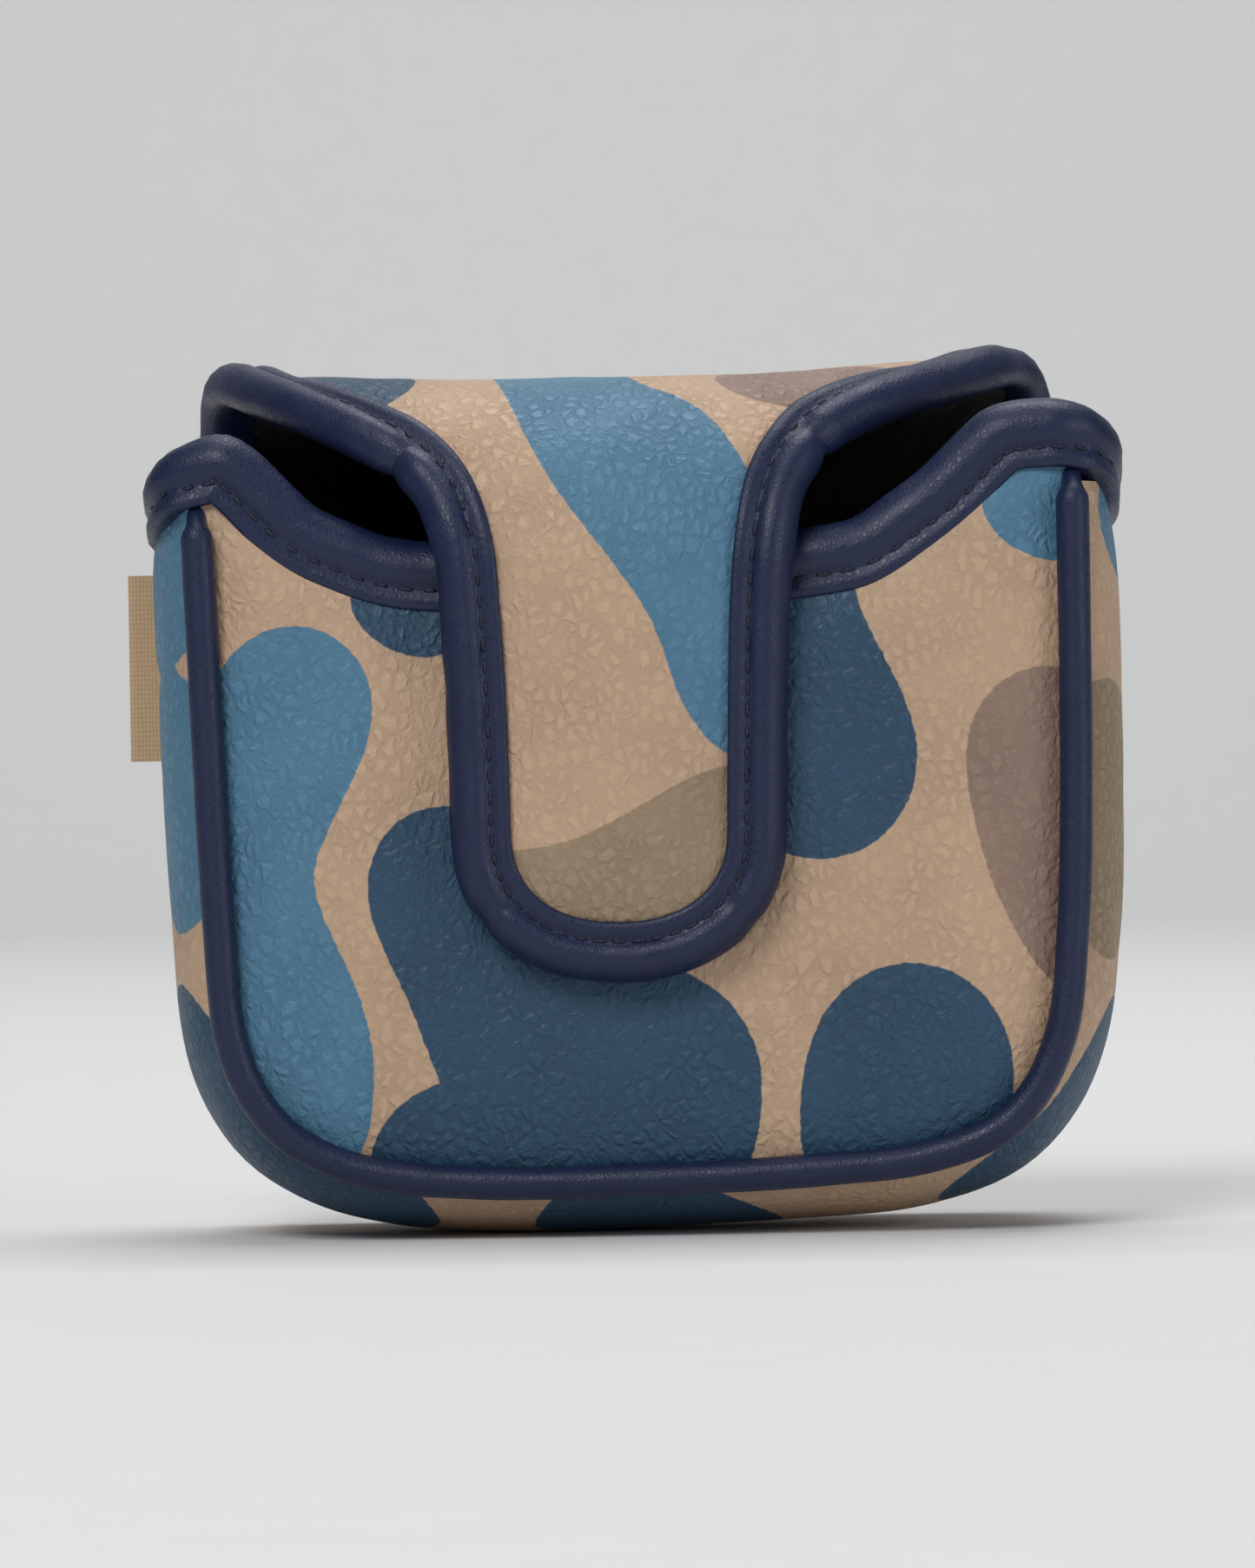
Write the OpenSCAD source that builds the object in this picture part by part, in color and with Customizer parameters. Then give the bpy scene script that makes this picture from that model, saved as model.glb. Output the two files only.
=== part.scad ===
// Putter head cover: a padded leather pouch for a mallet head, with a flap that folds over the
// top and a strap that hangs down the front and is held there by hidden magnets.
// Millimetres. X is the width, the front faces -Y, +Z is up, and the origin lies at the centre
// of the flat underside.

/* [Pouch] */
// Width of the front and back panels, from seam to seam
panel_w = 117; // [105:1:135]
// Depth between the outer faces of the front and back panels
pouch_d = 46; // [40:1:56]
// Radius of the bottom corners at the seam
corner_r = 31; // [24:1:36]
// How far the gusset bulges past the seam
gusset_bulge = 7; // [6:0.5:9]
// Width of the rounded edge beside the gusset's flat crown
gusset_round = 11; // [9:0.5:13]

/* [Opening] */
// Height of the front panel's edge in the middle of the mouth
mouth_dip_z = 91; // [80:1:94]
// Height of the front panel's edge at its corners
mouth_corner_z = 105; // [98:1:107]
// Distance from the middle at which the mouth starts to rise
mouth_flat_x = 31; // [28:1:36]
// Distance from the middle at which the mouth is at its full height
mouth_high_x = 56; // [50:1:60]
// Height of the gusset's top edge at the back panel
side_rear_z = 102; // [96:0.5:103]

/* [Flap and strap] */
// Height of the fold over the top
cover_h = 114.5; // [114:0.5:118]
// Radius of the fold at the back panel
rear_r = 11; // [8:0.5:11]
// Radius of the fold at the strap
front_r = 26; // [24:0.5:28]
// Width of the strap's leather
strap_w = 43; // [36:1:50]
// Height of the strap's lower end
strap_end_z = 35; // [26:1:44]
// Radius of the strap's lower corners
strap_r = 10; // [6:1:14]
// Sideways offset of the strap from the middle
strap_shift = -3; // [-5:0.5:5]
// Space between the strap's lining and the front panel
strap_gap = 3; // [2.8:0.1:5]

/* [Layers] */
// Thickness of the outer leather
leather_t = 1; // [0.8:0.1:1.3]
// Thickness of the foam padding
foam_t = 2.2; // [2.1:0.1:2.6]
// Thickness of the fleece lining
lining_t = 0.8; // [0.5:0.1:1]

/* [Edges] */
// Thickness of the binding leather
bind_t = 0.9; // [0.6:0.1:1.1]
// How far the binding reaches down each face
bind_reach = 6; // [4:0.5:8]
// How far the binding rolls past the raw edge
bind_roll = 1.5; // [1.2:0.1:2.5]
// Outer radius of the piping
welt_r = 2.2; // [1.8:0.1:2.5]
// Radius of the cord inside the piping
welt_cord_r = 1.1; // [0.8:0.1:1.3]
// Length of one stitch
stitch_l = 2.4; // [1.6:0.2:3]
// Distance from one stitch to the next
stitch_pitch = 4.2; // [3.6:0.2:6]

/* [Closure] */
// Diameter of each magnet
magnet_d = 10; // [6:0.5:11]
// Thickness of each magnet
magnet_t = 1.6; // [1:0.1:1.8]
// Distance between the two magnets of a pair
magnet_pitch = 18; // [13:1:22]
// Height of the magnets above the strap's lower end
magnet_up = 14; // [11:1:24]

/* [Label] */
// Height of the folded label
tag_h = 26; // [16:1:34]
// How far the label stands out from the seam
tag_out = 9.8; // [8:0.2:14]
// Height of the label's middle
tag_z = 76; // [56:1:78]
// Thickness of the label's ribbon
tag_t = 0.5; // [0.3:0.1:0.6]

/* [Hidden] */
$fn = 96;

leather_color = [0.72, 0.6, 0.5];
foam_color = [0.85, 0.84, 0.8];
lining_color = [0.09, 0.09, 0.11];
bind_color = [0.16, 0.18, 0.32];
thread_color = [0.08, 0.09, 0.16];
magnet_color = [0.7, 0.71, 0.73];
label_color = [0.78, 0.68, 0.52];

seat = 0.02;        // clearance between curved layers that lie on each other
body_gap = 0.3;     // clearance between pieces that move apart
pocket_gap = 0.15;  // clearance round a magnet in its foam pocket
big = 400;          // longer than anything it cuts

stack_t = leather_t + foam_t + lining_t;
half_w = panel_w / 2;
half_d = pouch_d / 2;
seam_z = gusset_bulge;  // the underside is at z = 0
corner_x = half_w - corner_r;
corner_z = seam_z + corner_r;

// The gusset's section is a flat crown with one arc on each side of it.
bulge_r = (pow(gusset_bulge, 2) + pow(gusset_round, 2)) / (2 * gusset_bulge);
crown_half = half_d - gusset_round;

// The cover folds forwards over the top: a tight arc up from the back panel to the crease, then
// a level stretch and a wide arc down to the shoulder, where the strap hangs.
rear_z = cover_h - rear_r;
crease_y = half_d - rear_r;
strap_y = -half_d - strap_gap - stack_t;  // outer face of the strap's leather
front_y = strap_y + front_r;
shoulder_z = cover_h - front_r;
strap_half = strap_w / 2;
crease_half = half_w - bind_roll;
edge_reach = 4;             // how far the binding reaches in on crease, flap and strap

// The welt lies outside the seam, and is pressed flat where it meets the panel.
welt_y = half_d + 0.7 * welt_r;
front_welt_top = mouth_corner_z - bind_reach - body_gap;
back_welt_top = side_rear_z - bind_reach - body_gap;

magnet_z = strap_end_z + magnet_up;
stitch_w = 0.5;
stitch_h = 0.3;
stitch_inset = 1.4;  // from the binding's inner edge to its stitches

// ---- outlines in the XZ plane ----

// Height of the front panel's upper edge at x, a smooth rise from the dip to each corner
function rise(t) = t * t * (3 - 2 * t);
function mouth_z(x) = mouth_dip_z + (mouth_corner_z - mouth_dip_z)
  * rise(min(1, max(0, (abs(x) - mouth_flat_x) / (mouth_high_x - mouth_flat_x))));

mouth_steps = 12;
mouth_rise_xs = [for (i = [0 : mouth_steps])
  mouth_flat_x + (mouth_high_x - mouth_flat_x) * i / mouth_steps];
mouth_xs = concat([-half_w], [for (i = [mouth_steps : -1 : 0]) -mouth_rise_xs[i]],
  mouth_rise_xs, [half_w]);

// Everything below the mouth's edge, moved up by lift
module below_mouth(lift) {
  polygon(concat([[half_w, -1], [-half_w, -1]],
    [for (x = mouth_xs) [x, mouth_z(x) + lift]]));
}

// A panel's outline below top_z: straight sides and two round bottom corners
module panel_outline(top_z) {
  translate([-half_w, corner_z]) square([panel_w, top_z - corner_z]);
  translate([-corner_x, seam_z]) square([2 * corner_x, corner_r + 1]);
  for (side = [-1, 1]) translate([side * corner_x, corner_z]) circle(r = corner_r);
}

// An upright tab from x0 to x1 and from z0 to z1, with its two upper corners rounded
module round_top(x0, x1, z0, z1, r) {
  translate([x0, z0]) square([x1 - x0, z1 - r - z0]);
  translate([x0 + r, z1 - r - 1]) square([x1 - x0 - 2 * r, r + 1]);
  for (x = [x0 + r, x1 - r]) translate([x, z1 - r]) circle(r = r);
}

// The strap's outline from its lower end up to the shoulder, grown by grow
module strap_outline(grow) {
  half = strap_half + grow;
  low = strap_end_z - grow;
  r = strap_r + grow;
  mirror([0, 1]) translate([strap_shift, 0])
    round_top(-half, half, body_gap - shoulder_z, -low, r);
}

// The flap's outline seen from above, grown by grow: it keeps its width near the crease and
// narrows ever faster towards the strap
plan_steps = 16;
function widen(t) = 1 - (1 - t) * (1 - t);
function flap_edge(side, y, grow) = let(t = max(0, (y - strap_y) / (crease_y - strap_y)))
  (1 - t) * strap_shift
  + side * (strap_half + (crease_half - strap_half) * widen(t) + grow);
flap_ys = concat([strap_y - 2 * bind_t],
  [for (i = [0 : plan_steps]) strap_y + (crease_y - strap_y) * i / plan_steps]);
module flap_plan(grow) {
  polygon(concat(
    [for (y = flap_ys) [flap_edge(1, y, grow), y]],
    [for (i = [len(flap_ys) - 1 : -1 : 0]) [flap_edge(-1, flap_ys[i], grow), flap_ys[i]]]));
}

// ---- ways to give an outline its depth ----

// An XZ outline between two depths
module slab(y0, y1) {
  translate([0, y1, 0]) rotate([90, 0, 0]) linear_extrude(y1 - y0) children();
}

// A YZ outline between two places across the width
module across(x0, x1) {
  translate([x0, 0, 0]) rotate([90, 0, 90]) linear_extrude(x1 - x0) children();
}

// A ring between two depths below an outer radius
module ring(r, d0, d1) {
  difference() {
    circle(r = r - d0);
    circle(r = r - d1);
  }
}

// The tight arc from the back panel up to the crease, between two depths below its outer face
module rear_fold(d0, d1, grow) {
  half = crease_half + grow;
  across(-half, half) intersection() {
    translate([crease_y, rear_z]) ring(rear_r, d0, d1);
    translate([crease_y, rear_z]) square(big);
  }
}

// The flap's level stretch and wide front arc, cut to its plan
module flap_fold(d0, d1, grow) {
  intersection() {
    across(-big / 2, big / 2) {
      intersection() {
        translate([front_y, shoulder_z]) ring(front_r, d0, d1);
        translate([front_y - big, shoulder_z]) square(big);
      }
      translate([front_y, cover_h - d1]) square([crease_y - body_gap - front_y, d1 - d0]);
    }
    linear_extrude(big) flap_plan(grow);
  }
}

// The gusset's section seen along the seam: x is the distance outwards, y the depth
module bulge_outline(d) {
  intersection() {
    union() {
      for (side = [-1, 1])
        translate([gusset_bulge - bulge_r, side * crown_half]) circle(r = bulge_r - d);
      translate([0, -crown_half]) square([gusset_bulge - d, 2 * crown_half]);
    }
    translate([seat, -big / 2]) square(big);
  }
}

module gusset_section(d0, d1) {
  difference() {
    bulge_outline(d0);
    bulge_outline(d1);
  }
}

// Sweeps a section down the left seam, round the bottom and up the right seam
module along_seam(top_z) {
  for (side = [0, 1]) mirror([side, 0, 0]) {
    translate([half_w, 0, corner_z]) linear_extrude(top_z - corner_z) children();
    translate([corner_x, 0, corner_z]) rotate([90, 0, 0]) rotate([0, 0, -90])
      rotate_extrude(angle = 90) translate([corner_r, 0]) mirror([0, 1]) children();
  }
  translate([-corner_x, 0, seam_z]) rotate([0, 90, 0]) linear_extrude(2 * corner_x) children();
}

// Everything below the gusset's sloping top edge, moved up by lift
module below_side_edge(lift) {
  across(-big / 2, big / 2) polygon([
    [-half_d - big, -1], [half_d + big, -1],
    [half_d + big, side_slope_z(half_d + big) + lift],
    [-half_d - big, side_slope_z(-half_d - big) + lift]]);
}
function side_slope_z(y) = mouth_corner_z
  + (side_rear_z - mouth_corner_z) * (y + half_d) / pouch_d;

// One stitch on a face whose outward normal is -Y, at (x, z), turned by angle from upright
module stitch(x, y, z, angle) {
  translate([x, y - stitch_h / 2, z]) rotate([0, angle, 0])
    cube([stitch_w, stitch_h, stitch_l], center = true);
}

// ---- front panel ----

module front_outline() {
  intersection() {
    panel_outline(mouth_corner_z + 1);
    below_mouth(0);
  }
}

// A layer of the front panel between two depths below its outer face
module front_layer(d0, d1) {
  slab(-half_d + d0, -half_d + d1) front_outline();
}

module front_leather() {
  color(leather_color) front_layer(0, leather_t);
}

// Discs at the magnets' places, from depth y0 to y1
module magnet_discs(y0, y1, d) {
  slab(y0, y1) for (side = [-1, 1])
    translate([strap_shift + side * magnet_pitch / 2, magnet_z]) circle(d = d);
}

module front_foam() {
  color(foam_color) difference() {
    front_layer(leather_t + seat, leather_t + foam_t - seat);
    magnet_discs(-half_d + leather_t, -half_d + leather_t + magnet_t + pocket_gap,
      magnet_d + 2 * pocket_gap);
  }
}

module front_lining() {
  color(lining_color) front_layer(stack_t - lining_t, stack_t);
}

module front_magnets() {
  color(magnet_color)
    magnet_discs(-half_d + leather_t + seat, -half_d + leather_t + seat + magnet_t, magnet_d);
}

// ---- gusset ----

module gusset_layer(d0, d1) {
  intersection() {
    along_seam(side_rear_z + 1) gusset_section(d0, d1);
    below_side_edge(0);
  }
}

module gusset_leather() {
  color(leather_color) gusset_layer(0, leather_t);
}

module gusset_foam() {
  color(foam_color) gusset_layer(leather_t + seat, leather_t + foam_t - seat);
}

module gusset_lining() {
  color(lining_color) gusset_layer(stack_t - lining_t, stack_t);
}

// ---- back panel, with the tight arc up to the crease ----

module back_layer(d0, d1) {
  slab(half_d - d1, half_d - d0) panel_outline(rear_z);
  rear_fold(d0, d1, 0);
}

module back_leather() {
  color(leather_color) back_layer(0, leather_t);
}

module back_foam() {
  color(foam_color) back_layer(leather_t + seat, leather_t + foam_t - seat);
}

module back_lining() {
  color(lining_color) back_layer(stack_t - lining_t, stack_t);
}

// ---- piping on the two seams: side is -1 at the front and 1 at the back ----

module welt_section(side) {
  difference() {
    translate([0, side * welt_y]) circle(r = welt_r, $fn = 48);
    translate([0, side * welt_y]) circle(r = welt_cord_r + seat, $fn = 48);
    translate([-big / 2, -half_d - seat]) square([big, pouch_d + 2 * seat]);
  }
}

module welt(side, top_z) {
  color(bind_color) along_seam(top_z) welt_section(side);
}

module welt_cord(side, top_z) {
  color(foam_color) along_seam(top_z)
    translate([0, side * welt_y]) circle(r = welt_cord_r, $fn = 48);
}

module front_welt() {
  welt(-1, front_welt_top);
}

module front_welt_cord() {
  welt_cord(-1, front_welt_top);
}

module back_welt() {
  welt(1, back_welt_top);
}

module back_welt_cord() {
  welt_cord(1, back_welt_top);
}

// ---- bindings of the pouch: channels folded over the raw edges ----

module mouth_binding() {
  color(bind_color) difference() {
    slab(-half_d - bind_t, -half_d + stack_t + bind_t) difference() {
      below_mouth(bind_roll);
      below_mouth(-bind_reach);
    }
    slab(-half_d, -half_d + stack_t) below_mouth(0);
  }
}

mouth_stitches = floor((half_w - stitch_l) / stitch_pitch);
module mouth_thread() {
  color(thread_color) for (i = [-mouth_stitches : mouth_stitches]) {
    x = i * stitch_pitch;
    slope = atan((mouth_z(x + 1) - mouth_z(x - 1)) / 2);
    stitch(x, -half_d - bind_t, mouth_z(x) - bind_reach + stitch_inset, 90 - slope);
  }
}

// The gusset's top edge on one side; mirrored for the left
module side_binding(side) {
  color(bind_color) intersection() {
    difference() {
      along_seam(side_rear_z + big / 4) gusset_section(-bind_t, stack_t + bind_t);
      below_side_edge(-bind_reach);
      intersection() {
        along_seam(side_rear_z + big / 4) gusset_section(-seat, stack_t + seat);
        below_side_edge(0);
      }
    }
    below_side_edge(bind_roll);
    translate([side > 0 ? 0 : -big, -big / 2, 0]) cube(big);
  }
}

module side_binding_left() {
  side_binding(-1);
}

module side_binding_right() {
  side_binding(1);
}

side_stitches = floor(crown_half / stitch_pitch);
module side_thread() {
  slope = atan((side_rear_z - mouth_corner_z) / pouch_d);
  stitch_x = half_w + gusset_bulge + bind_t + stitch_h / 2;
  color(thread_color) for (side = [-1, 1], i = [-side_stitches : side_stitches]) {
    y = i * stitch_pitch;
    translate([side * stitch_x, y, side_slope_z(y) - bind_reach + stitch_inset])
      rotate([slope, 0, 0]) cube([stitch_h, stitch_l, stitch_w], center = true);
  }
}

// The end of the tight arc on one side, from the gusset's binding up to the crease
module crease_binding(side) {
  inner = crease_half - edge_reach;
  color(bind_color) difference() {
    rear_fold(-bind_t, stack_t + bind_t, bind_roll);
    rear_fold(-seat, stack_t + seat, seat);
    translate([side > 0 ? inner - big : -inner, -big / 2, 0]) cube(big);
  }
}

module crease_binding_left() {
  crease_binding(-1);
}

module crease_binding_right() {
  crease_binding(1);
}

// ---- label: a folded ribbon caught in the rear seam on the left ----

label_root = welt_r + 0.1;
label_bore = 0.15;   // radius inside the fold
label_low = tag_z - tag_h / 2;
module side_label() {
  fold_x = -half_w - tag_out + tag_t + label_bore;
  root_x = -half_w - label_root;
  label_y = half_d + label_bore;
  color(label_color) translate([0, label_y, label_low]) linear_extrude(tag_h) difference() {
    union() {
      translate([fold_x, 0]) circle(r = tag_t + label_bore, $fn = 32);
      translate([fold_x, -tag_t - label_bore]) square([root_x - fold_x, 2 * (tag_t + label_bore)]);
    }
    translate([fold_x, 0]) circle(r = label_bore, $fn = 32);
    translate([fold_x, -label_bore]) square([root_x - fold_x + 1, 2 * label_bore]);
  }
}

label_stitches = floor(tag_h / stitch_pitch);
module label_thread() {
  color(thread_color) for (i = [0 : label_stitches - 1])
    stitch(-half_w - label_root - stitch_w, half_d + 2 * label_bore + tag_t + stitch_h,
      label_low + (i + 0.5) * tag_h / label_stitches, 0);
}

// ---- flap: from the crease to the shoulder ----

module flap_leather() {
  color(leather_color) flap_fold(0, leather_t, 0);
}

module flap_foam() {
  color(foam_color) flap_fold(leather_t + seat, leather_t + foam_t - seat, 0);
}

module flap_lining() {
  color(lining_color) flap_fold(stack_t - lining_t, stack_t, 0);
}

module flap_binding(side) {
  color(bind_color) intersection() {
    difference() {
      flap_fold(-bind_t, stack_t + bind_t, bind_roll);
      flap_fold(-2 * bind_t, stack_t + 2 * bind_t, -edge_reach);
      flap_fold(-seat, stack_t + seat, seat);
    }
    translate([side > 0 ? 0 : -big, -big / 2, 0]) cube(big);
  }
}

module flap_binding_left() {
  flap_binding(-1);
}

module flap_binding_right() {
  flap_binding(1);
}

// Round stitch heads along both edges of the flap, square to its curved face
flap_stitches = 9;
stud_r = 0.35;
module flap_thread() {
  color(thread_color) for (side = [-1, 1], i = [1 : flap_stitches]) {
    angle = 90 * i / (flap_stitches + 1);
    y = front_y - front_r * cos(angle);
    x = flap_edge(side, y, stitch_inset - edge_reach);
    translate([x, front_y, shoulder_z]) rotate([90 - angle, 0, 0])
      translate([0, 0, front_r + bind_t + seat]) cylinder(r = stud_r, h = stitch_h, $fn = 16);
  }
}

// ---- strap: the flat part down the front, below the shoulder ----

module strap_layer(d0, d1) {
  slab(strap_y + d0, strap_y + d1) strap_outline(0);
}

module strap_leather() {
  color(leather_color) strap_layer(0, leather_t);
}

module strap_foam() {
  back_y = strap_y + leather_t + foam_t;
  color(foam_color) difference() {
    strap_layer(leather_t + seat, leather_t + foam_t - seat);
    magnet_discs(back_y - magnet_t - pocket_gap, back_y, magnet_d + 2 * pocket_gap);
  }
}

module strap_lining() {
  color(lining_color) strap_layer(stack_t - lining_t, stack_t);
}

module strap_magnets() {
  back_y = strap_y + leather_t + foam_t;
  color(magnet_color) magnet_discs(back_y - seat - magnet_t, back_y - seat, magnet_d);
}

module strap_binding() {
  color(bind_color) difference() {
    slab(strap_y - bind_t, strap_y + stack_t + bind_t) difference() {
      strap_outline(bind_roll);
      strap_outline(-edge_reach);
    }
    slab(strap_y, strap_y + stack_t) strap_outline(0);
  }
}

// Stitches down both edges of the strap, round its corners and along its lower end
strap_inset = edge_reach - stitch_inset;
strap_low = strap_end_z + strap_r;
strap_stitches = floor((shoulder_z - strap_low) / stitch_pitch);
end_half = strap_half - strap_r;
end_stitches = floor(end_half / stitch_pitch);
corner_stitches = 3;
module strap_thread() {
  face_y = strap_y - bind_t;
  turn_r = strap_r - strap_inset;
  color(thread_color) {
    for (side = [-1, 1], i = [0 : strap_stitches - 1])
      stitch(strap_shift + side * (strap_half - strap_inset), face_y,
        strap_low + (i + 0.5) * stitch_pitch, 0);
    for (side = [-1, 1], i = [0 : corner_stitches - 1]) {
      angle = 90 * (i + 0.5) / corner_stitches;
      stitch(strap_shift + side * (end_half + turn_r * cos(angle)), face_y,
        strap_low - turn_r * sin(angle), side * angle);
    }
    for (i = [-end_stitches : end_stitches])
      stitch(strap_shift + i * stitch_pitch, face_y, strap_end_z + strap_inset, 90);
  }
}

front_leather();
front_foam();
front_lining();
front_magnets();
gusset_leather();
gusset_foam();
gusset_lining();
back_leather();
back_foam();
back_lining();
front_welt();
front_welt_cord();
back_welt();
back_welt_cord();
mouth_binding();
mouth_thread();
side_binding_left();
side_binding_right();
side_thread();
crease_binding_left();
crease_binding_right();
side_label();
label_thread();
flap_leather();
flap_foam();
flap_lining();
flap_binding_left();
flap_binding_right();
flap_thread();
strap_leather();
strap_foam();
strap_lining();
strap_binding();
strap_thread();
strap_magnets();
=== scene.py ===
import math

import bpy
import numpy as np
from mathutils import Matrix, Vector, noise


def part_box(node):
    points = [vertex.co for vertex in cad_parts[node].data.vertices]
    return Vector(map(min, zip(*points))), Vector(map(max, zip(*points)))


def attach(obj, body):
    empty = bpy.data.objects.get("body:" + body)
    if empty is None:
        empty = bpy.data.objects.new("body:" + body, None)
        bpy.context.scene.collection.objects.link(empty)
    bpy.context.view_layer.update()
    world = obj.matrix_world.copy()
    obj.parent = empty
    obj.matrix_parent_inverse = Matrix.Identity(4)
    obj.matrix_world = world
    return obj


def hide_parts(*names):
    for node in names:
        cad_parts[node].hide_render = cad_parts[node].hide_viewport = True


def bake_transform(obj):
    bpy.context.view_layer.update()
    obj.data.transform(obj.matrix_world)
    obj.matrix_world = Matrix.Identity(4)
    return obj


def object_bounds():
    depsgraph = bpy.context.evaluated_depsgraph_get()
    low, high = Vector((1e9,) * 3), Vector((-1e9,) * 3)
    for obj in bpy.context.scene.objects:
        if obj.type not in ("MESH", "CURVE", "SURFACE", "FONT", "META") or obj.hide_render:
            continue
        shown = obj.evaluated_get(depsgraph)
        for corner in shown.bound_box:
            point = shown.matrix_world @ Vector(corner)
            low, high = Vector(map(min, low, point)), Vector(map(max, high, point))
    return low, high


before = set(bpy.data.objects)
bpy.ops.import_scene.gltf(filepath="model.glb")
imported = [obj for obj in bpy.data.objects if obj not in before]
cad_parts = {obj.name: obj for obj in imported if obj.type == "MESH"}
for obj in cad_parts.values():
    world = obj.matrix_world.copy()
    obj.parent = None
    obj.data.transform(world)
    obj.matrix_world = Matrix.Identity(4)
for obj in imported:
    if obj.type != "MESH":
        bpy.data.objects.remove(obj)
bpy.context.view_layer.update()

# ---- Front panel ----
# A pad of printed, pebbled leather over thin foam, lined with fleece. Its two sides and its
# bottom are sewn to the gusset, and its dipped upper edge is bound.
MM = 0.001


def box_mm(node):
    """Lowest and highest corner of a CAD node, in millimetres."""
    low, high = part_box(node)
    return np.array(low) / MM, np.array(high) / MM


front_low, front_high = box_mm("front_leather")
lining_low, lining_high = box_mm("front_lining")
front_y = front_low[1]
seam_low_z = front_low[2]
panel_half = front_high[0]
stack_t = lining_high[1] - front_y
pad_t = lining_low[1] - front_y


def smooth_line(points, step):
    """A smooth curve through the points, sampled every step millimetres."""
    p = np.array(points, float)
    ends = np.vstack([2 * p[0] - p[1], p, 2 * p[-1] - p[-2]])
    t = np.linspace(0, 1, 40, endpoint=False)[:, None]
    rows = []
    for a, b, c, d in zip(ends, ends[1:], ends[2:], ends[3:]):
        rows.append(0.5 * (2 * b + (c - a) * t + (2 * a - 5 * b + 4 * c - d) * t**2
                           + (3 * b - a - 3 * c + d) * t**3))
    return resample(np.vstack(rows + [p[-1:]]), step)


def resample(line, step):
    """The same line with evenly spaced points."""
    along = np.concatenate([[0], np.cumsum(np.linalg.norm(np.diff(line, axis=0), axis=1))])
    even = np.linspace(0, along[-1], max(2, int(round(along[-1] / step)) + 1))
    return np.stack([np.interp(even, along, line[:, k]) for k in range(line.shape[1])], axis=1)


# Seam of the front panel, down the left side, round the bottom and up the right: x and z.
side_top_z = front_high[2]
seam = smooth_line([
    (-panel_half - 0.3, side_top_z - 2), (-panel_half + 1, 68), (-panel_half + 2, 44),
    (-panel_half + 3.4, 27), (-50.5, 16.8), (-43, 11), (-33, 8.1), (-18, seam_low_z),
    (2, seam_low_z + 0.2), (22, 8), (38, 9.6), (49.5, 14.5), (56, 25), (panel_half - 0.4, 40),
    (panel_half + 0.4, 62), (panel_half + 0.5, side_top_z - 2)], 1.0)

# The raw upper edge of the front panel, which the mouth binding covers: x and z.
mouth = smooth_line([
    (-59.5, 105.6), (-55, 105.8), (-51.2, 103.4), (-46.4, 98.4), (-42.9, 95.7), (-38.5, 93.7),
    (-34, 92), (-28.6, 91), (-14, 90.6), (4, 90.6), (19, 91.5), (27.2, 92.5), (31, 93.7),
    (34.6, 96), (40.5, 100.3), (46.4, 106), (49.6, 108.1), (53.8, 108.7), (59.5, 108.8)], 1.0)


def grain(x, y, z, size, seed=0.0):
    """Smooth noise from -1 to 1 at each point, with lumps of about that size in millimetres."""
    flat = np.broadcast_arrays(x, y, z)
    values = [noise.noise((a / size + seed, b / size - seed, c / size + 2 * seed))
              for a, b, c in zip(*(v.ravel() for v in flat))]
    return np.array(values).reshape(flat[0].shape)


def distance_to(line, x, z):
    """Distance from each point to the nearest point of a flat line."""
    gap = np.full(x.shape, 1e9)
    for lx, lz in line:
        gap = np.minimum(gap, np.hypot(x - lx, z - lz))
    return gap


def pad_piece(name, outer, inner):
    """A closed pad between two grids of points in millimetres, outer facing outwards."""
    rows, cols, _ = outer.shape
    count = rows * cols
    at = np.arange(count).reshape(rows, cols)
    faces = []
    for i in range(rows - 1):
        for j in range(cols - 1):
            quad = (at[i, j], at[i, j + 1], at[i + 1, j + 1], at[i + 1, j])
            faces.append(quad)
            faces.append(tuple(count + k for k in reversed(quad)))
    rim = ([(0, j) for j in range(cols)] + [(i, cols - 1) for i in range(1, rows)]
           + [(rows - 1, j) for j in range(cols - 2, -1, -1)]
           + [(i, 0) for i in range(rows - 2, 0, -1)])
    for a, b in zip(rim, rim[1:] + rim[:1]):
        faces.append((at[b], at[a], count + at[a], count + at[b]))
    return mesh_piece(name, np.vstack([outer.reshape(-1, 3), inner.reshape(-1, 3)]), faces)


def mesh_piece(name, points_mm, faces):
    """A smooth-shaded object at the origin whose mesh holds the points."""
    mesh = bpy.data.meshes.new(name)
    mesh.from_pydata((points_mm * MM).tolist(), [], [tuple(map(int, f)) for f in faces])
    mesh.validate()
    mesh.shade_smooth()
    mesh.set_sharp_from_angle(angle=math.radians(50))
    piece = bpy.data.objects.new(name, mesh)
    bpy.context.scene.collection.objects.link(piece)
    return piece


# The print is made of large soft blobs in four colours on tan. Each blob is a chain of round
# spots, given as x, z and radius, which flow into each other.
def blob_depth(chain, x, z):
    """How far inside a blob each point lies, in millimetres; negative outside."""
    step, melt = 1.2, 1.3
    spots = smooth_line(chain, step) if len(chain) > 1 else np.array(chain, float)
    total = np.full(x.shape, 1e-12)
    for sx, sz, radius in spots:
        share = math.sqrt(2 * math.pi * radius * melt) / step
        inside = np.minimum(radius - np.hypot(x - sx, z - sz), 25)
        total = total + np.exp(inside / melt) / share
    return melt * np.log(total) + 0.5


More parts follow.
